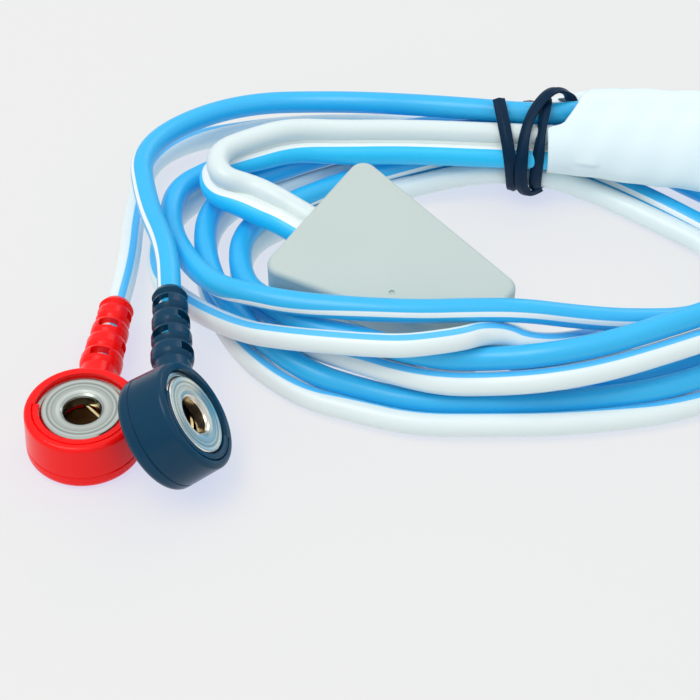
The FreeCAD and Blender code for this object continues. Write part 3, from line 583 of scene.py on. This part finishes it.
# A power under one makes a round section square towards its edges.
EDGE_POWER = 0.5
WIRE_RISE = 0.2
WIRE_HALF = 0.3
HANK_MIDDLE = Vector((0, 34.5, 6.0)) * MM
TWIST_SPOT = Vector((31.7, 30, 10.2)) * MM
TWIST_REACH = 3.6 * MM
TWIST = math.radians(50)


def ribbon_ring(form, spot, ahead):
    """One ring of the ribbon: flat, with the wire standing proud along its middle."""
    out = spot - HANK_MIDDLE
    out.x = 0
    out = (out - ahead * out.dot(ahead)).normalized()
    near = (spot - TWIST_SPOT).length / TWIST_REACH
    out = Matrix.Rotation(TWIST * math.exp(-near ** 2), 3, ahead) @ out
    across = ahead.cross(out)
    ring = bmesh.ops.create_circle(form, segments=TIE_SIDES, radius=1.0)["verts"]
    for vert in ring:
        flat, high = vert.co.x, vert.co.y
        wire = WIRE_RISE * math.exp(-(flat * TIE_WIDE / 2 / WIRE_HALF) ** 2)
        lift = math.copysign(abs(high) ** EDGE_POWER, high) * (TIE_THICK / 2 + wire)
        vert.co = spot + (across * flat * TIE_WIDE / 2 + out * lift) * MM
    return list({edge for vert in ring for edge in vert.link_edges})


tie_line = nurbs_line("twist_tie_line", [(Vector(spot) * MM, 0) for spot in TIE_ROUTE])
tie_path = [v.co.copy() for v in as_mesh(tie_line, "twist_tie_path").vertices]

# %% Ribbon of the tie
form = bmesh.new()
rings = []
for before, spot, after in zip(tie_path[:1] + tie_path, tie_path, tie_path[1:] + tie_path[-1:]):
    rings.append(ribbon_ring(form, spot, (after - before).normalized()))
for first, second in zip(rings, rings[1:]):
    bmesh.ops.bridge_loops(form, edges=first + second)
bmesh.ops.holes_fill(form, edges=rings[0] + rings[-1], sides=TIE_SIDES)
bmesh.ops.recalc_face_normals(form, faces=form.faces)
tie_mesh = bpy.data.meshes.new("twist_tie_ribbon")
form.to_mesh(tie_mesh)
form.free()
for face in tie_mesh.polygons:
    face.use_smooth = len(face.vertices) == 4
twist_tie = place("twist_tie_ribbon", tie_mesh)
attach(twist_tie, BODY)
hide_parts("twist_tie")
print("twist tie:", len(tie_mesh.polygons), "faces")

# %% [markdown]
# ## The paper band
#
# A slip of thin packing paper is rolled round the trunk. Its outer corner isn't tucked in: it
# stands up and covers the lead behind. A cloth simulation could wrap it, but paper keeps the shape
# that it was rolled to, and a formula gives that directly. So the slip is a grid that is bent to a
# rolled section, widens to the right, and keeps the soft waves and the one short crease of paper
# rolled by hand.

# %% Sizes and section of the paper
PAPER_LEFT = 32.5
PAPER_RIGHT = 54.4
CORNER_CUT = 1.7
PAPER_SECTION = [
    (32.9, 6.4), (31.2, 4.9), (28.6, 5), (26.9, 7.3), (27.7, 10), (30.4, 11.5), (32.6, 11.9),
    (35.4, 12.7), (38, 11.2), (39, 8.4)]
PAPER_COLUMNS = 60
PAPER_ROWS = 72
PAPER_THICK = 0.08
section_line = nurbs_line("paper_section", [(Vector((0, y, z)) * MM, 0) for y, z in PAPER_SECTION])
section = [v.co / MM for v in as_mesh(section_line, "paper_section_path").vertices]

# %% Roll, corner, waves and crease
# Places round the slip are shares of its section, and places along it are millimetres.
ROLL_TOP = 0.56
FRONT_SHARE = 0.3
CORNER_START = 1.8
CORNER_LEAN = 12.0
CORNER_EASE = 0.02
PAPER_SPREAD = 2.2
PAPER_FALL = 0.045
FLAP_FALL = 0.3
# Each wave: its height in millimetres, and how fast it runs along the slip and round it.
PAPER_WAVES = [(0.1, 0.55, 9), (0.06, 1.3, -17)]
CREASE_AT = 0.348
CREASE_FROM = 35.6
CREASE_TO = 38.8
CREASE_EASE = 0.8
CREASE_FADE = 0.05
CREASE_STEP = 0.4


def ease(value, start, end):
    """Nought before the start, one after the end, and smooth between."""
    share = min(max((value - start) / (end - start), 0.0), 1.0)
    return share * share * (3 - 2 * share)


def paper_point(along_share, round_share):
    """A point of the slip: how far along the trunk, and how far round the section."""
    corner = ease(round_share, ROLL_TOP - CORNER_EASE, ROLL_TOP + CORNER_EASE)
    left = PAPER_LEFT + corner * (CORNER_START + CORNER_LEAN * max(round_share - ROLL_TOP, 0.0))
    x = left + (PAPER_RIGHT - CORNER_CUT * corner - left) * along_share
    place_in = round_share * (len(section) - 1)
    step = min(int(place_in), len(section) - 2)
    spot = section[step].lerp(section[step + 1], place_in - step)
    run = x - PAPER_LEFT
    front = 1 - ease(round_share, ROLL_TOP - FRONT_SHARE, ROLL_TOP)
    wave = sum(high * math.sin(run * rate + round_share * turn) for high, rate, turn in PAPER_WAVES)
    crease = math.exp((CREASE_AT - round_share) / CREASE_FADE) if round_share > CREASE_AT else 0.0
    crease *= CREASE_STEP * ease(x, CREASE_FROM, CREASE_FROM + CREASE_EASE)
    crease *= 1 - ease(x, CREASE_TO - CREASE_EASE, CREASE_TO)
    fall = PAPER_FALL * run * (FLAP_FALL + (1 - FLAP_FALL) * front)
    spread = front * PAPER_SPREAD * (run / (PAPER_RIGHT - PAPER_LEFT))
    y = spot.y - fall - spread - wave * front - crease
    z = spot.z - fall + wave * (1 - front)
    return Vector((x, y, z)) * MM


print("the loose corner is at", [round(v / MM, 1) for v in paper_point(1.0, 1.0)])

# %% Slip of paper
form = bmesh.new()
bmesh.ops.create_grid(form, x_segments=PAPER_COLUMNS, y_segments=PAPER_ROWS, size=0.5)
for vert in form.verts:
    vert.co = paper_point(vert.co.x + 0.5, vert.co.y + 0.5)
bmesh.ops.recalc_face_normals(form, faces=form.faces)
paper_mesh = bpy.data.meshes.new("paper_band_slip")
form.to_mesh(paper_mesh)
form.free()
for face in paper_mesh.polygons:
    face.use_smooth = True
paper_band = place("paper_band_slip", paper_mesh)
thickness = paper_band.modifiers.new("paper_thickness", "SOLIDIFY")
thickness.thickness = PAPER_THICK * MM
thickness.offset = 0
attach(paper_band, BODY)
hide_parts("paper_band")

# %% [markdown]
# ## Moulded and metal finishes
#
# The yoke is moulded ABS with a spark-eroded texture, which the eye reads as a fine dull grain. The
# snaps are soft vinyl from a polished mould, so they carry clear highlights. The grip springs are
# drawn brass wire and the cup behind them is brass too: the springs' colour is painted lighter, as a
# highlight, and the cup's is painted darker, as shade. Pictures of real surfaces could be wrapped
# on, but the solids have no UV map, and noise on Object coordinates needs none.

# %% Moulded plastic and plain metal
CLOUD_MM = 8.3
MOTTLE_MM = 1.7
GLOSS_DRIFT = 0.06
# A mould's grit is really about 0.05 mm. The finishes below draw it coarser so that it shows.
GRIT_DEEP = 0.05
PLASTIC_IOR = 1.5


def moulded(name, main, shade, rough, grit_mm, grit, sheen=0.5):
    """A moulded plastic: colour that clouds a little, and the fine grit of the mould's face."""
    made, tree, skin = new_material(name)
    coords = add(tree, "TexCoord").outputs["Object"]
    cloud = add(tree, "TexNoise", inputs={
        "Vector": coords, "Scale": 1000 / CLOUD_MM, "Detail": 4.0})
    colour = add(tree, "Mix", {"data_type": "RGBA"}, {
        FACTOR: cloud.outputs["Fac"], FIRST: linear(main), SECOND: linear(shade)})
    tree.links.new(colour.outputs[MIXED], skin.inputs["Base Color"])
    face = add(tree, "TexNoise", inputs={"Vector": coords, "Scale": 1000 / grit_mm, "Detail": 2.0})
    gloss = add(tree, "MapRange", inputs={
        "Value": face.outputs["Fac"], "To Min": rough - GLOSS_DRIFT, "To Max": rough + GLOSS_DRIFT})
    tree.links.new(gloss.outputs[0], skin.inputs["Roughness"])
    bump = add(tree, "Bump", inputs={
        "Height": face.outputs["Fac"], "Strength": grit, "Distance": GRIT_DEEP * MM})
    tree.links.new(bump.outputs[0], skin.inputs["Normal"])
    skin.inputs["IOR"].default_value = PLASTIC_IOR
    skin.inputs["Specular IOR Level"].default_value = sheen
    return made


def metal(name, main, shade, rough):
    """A plated or drawn metal, with the mottle of handling in its gloss."""
    made, tree, skin = new_material(name)
    coords = add(tree, "TexCoord").outputs["Object"]
    mottle = add(tree, "TexNoise", inputs={
        "Vector": coords, "Scale": 1000 / MOTTLE_MM, "Detail": 3.0})
    colour = add(tree, "Mix", {"data_type": "RGBA"}, {
        FACTOR: mottle.outputs["Fac"], FIRST: linear(main), SECOND: linear(shade)})
    tree.links.new(colour.outputs[MIXED], skin.inputs["Base Color"])
    gloss = add(tree, "MapRange", inputs={
        "Value": mottle.outputs["Fac"],
        "To Min": rough - GLOSS_DRIFT, "To Max": rough + GLOSS_DRIFT})
    tree.links.new(gloss.outputs[0], skin.inputs["Roughness"])
    skin.inputs["Metallic"].default_value = 1.0
    return made


print("plastic clouds every", CLOUD_MM, "mm, and metal mottles every", MOTTLE_MM, "mm")

# %% Finishes of the CAD nodes
# Each finish: its colour, the shade it clouds to and its roughness. A moulding adds the size of its
# grit in millimetres, the strength of the grit and, where it isn't 0.5, its sheen.
FINISHES = {
    # Spark-eroded ABS: an even, dull grain without a clear highlight.
    "grey_plastic": moulded("grey_abs_spark_eroded", "#C2CFC9", "#BCCAC4", 0.55, 0.45, 0.12),
    # Soft vinyl from a polished mould: a full colour with small clear highlights.
    "red_vinyl": moulded("red_soft_vinyl", "#FF1412", "#FF0E0E", 0.22, 0.5, 0.03, 0.24),
    "black_vinyl": moulded("black_soft_vinyl", "#073F5C", "#06354E", 0.2, 0.5, 0.04, 0.2),
    # Drawn brass: warm, with painted shade darkening the cup and a painted highlight lightening the
    # springs.
    "drawn_brass": metal("drawn_brass_cup_painted_shade", "#8C7458", "#5E4A34", 0.3),
    "spring_brass": metal("spring_brass", "#F2DEB4", "#DCC28C", 0.25),
    # Tin over brass: a soft, creamy white metal.
    "tinned_brass": metal("tinned_brass", "#D8D2C0", "#C8C0A8", 0.35),
    # Plated and polished plug contacts: the sharpest reflections of the set.
    "plug_metal": metal("plated_plug_contact", "#DCDCDA", "#CFD0D0", 0.18),
    # Lacquer on the board and the resistors: a smooth half-gloss film.
    "board": moulded("green_board_lacquer", "#1F6B3A", "#1A5C32", 0.35, 0.3, 0.05),
    "resistor": moulded("resistor_lacquer", "#C9A46B", "#BD965C", 0.35, 0.3, 0.05),
    # Natural nylon: milky and almost matt.
    "clamp_plastic": moulded("natural_nylon", "#E3E3DC", "#DADAD2", 0.5, 0.4, 0.08),
    # Vinyl and acetal of the plug: black with a broad, soft sheen.
    "plug_black": moulded("black_plug_vinyl", "#1C1F22", "#16181B", 0.45, 0.4, 0.08),
    "plug_insulator": moulded("black_acetal", "#131415", "#0E0F10", 0.4, 0.3, 0.05)}
# The tie's extruded plastic is a dull blue-black, and the paper is matt with a faint tooth.
tie_mesh.materials.append(
    moulded("black_tie_plastic", "#052C48", "#04243C", 0.4, 0.6, 0.05, 0.12))
paper_mesh.materials.append(moulded("thin_packing_paper", "#EAFAFA", "#E2F4F8", 0.7, 0.8, 0.08))
for row in frame["record"]["subparts"]:
    finish = FINISHES.get(row["material_slot"])
    if finish:
        mesh = nodes[row["node"]].data
        mesh.materials.clear()
        mesh.materials.append(finish)
print(len(FINISHES), "finishes set")

# %% [markdown]
# ## Stamped sockets
#
# The sockets are nickel plate over stamped brass. The press tool and many studs leave faint rings
# round the hole, uneven in width and in shine. The rings' darker colour is partly that wear and
# partly painted reflection, standing in for the dark streaks that a brushed disc reflects. Grooves
# could be cut in the mesh, but they are only hundredths of a millimetre deep, so noise along the
# distance from the socket's axis is enough.

# %% Finish of the sockets
RING_MM = 0.5
RING_DEEP = 0.03
RING_STRENGTH = 0.36
RING_WEAR_AND_REFLECTION = (0.42, 0.72)
PLATING_ROUGH = 0.24
# Both sockets are the same nickel plate. The black one faces the dome's darker rim, so its colours
# are painted lighter and the red one's darker: painted light that evens out what each reflects. Each
# second colour is the rings' dark, partly wear and partly painted reflection.
PLATING_WEAR_AND_PAINTED_LIGHT = {"red": ("#D6DCD2", "#959D94"), "black": ("#FFF8E8", "#B4B2A4")}


def turned(name, main, shade, rough, middle, axis):
    """Plated metal with faint rings round an axis, left by the press tool and by wear; their dark
    colour is partly painted reflection.
    """
    made = metal(name, main, shade, rough)
    tree = made.node_tree
    skin = tree.nodes["Principled BSDF"]
    coords = add(tree, "TexCoord").outputs["Object"]
    arm = add(tree, "VectorMath", {"operation": "SUBTRACT"}, {0: coords, 1: middle * MM})
    swept = add(tree, "VectorMath", {"operation": "CROSS_PRODUCT"}, {
        0: arm.outputs[0], 1: axis.normalized()})
    radius = add(tree, "VectorMath", {"operation": "LENGTH"}, {0: swept.outputs[0]})
    groove = add(tree, "TexNoise", {"noise_dimensions": "1D"}, {
        "W": radius.outputs["Value"], "Scale": 1000 / RING_MM, "Detail": 3.0})
    # The rings' darker colour: partly wear, partly painted reflection.
    wear_and_reflection = add(tree, "MapRange", inputs={
        "Value": groove.outputs["Fac"], "From Min": RING_WEAR_AND_REFLECTION[0], "From Max": RING_WEAR_AND_REFLECTION[1]})
    tint = add(tree, "Mix", {"data_type": "RGBA"}, {
        FACTOR: wear_and_reflection.outputs[0], FIRST: linear(main), SECOND: linear(shade)})
    tree.links.new(tint.outputs[MIXED], skin.inputs["Base Color"])
    bump = add(tree, "Bump", inputs={
        "Height": groove.outputs["Fac"], "Strength": RING_STRENGTH, "Distance": RING_DEEP * MM})
    tree.links.new(bump.outputs[0], skin.inputs["Normal"])
    return made


for colour, (middle, boot, press) in BOOTS.items():
    socket = nodes[colour + "_snap_socket"].data
    socket.materials.clear()
    socket.materials.append(
        turned(colour + "_nickel_stamping", *PLATING_WEAR_AND_PAINTED_LIGHT[colour], PLATING_ROUGH, middle, press))
    print(colour, "socket plated")
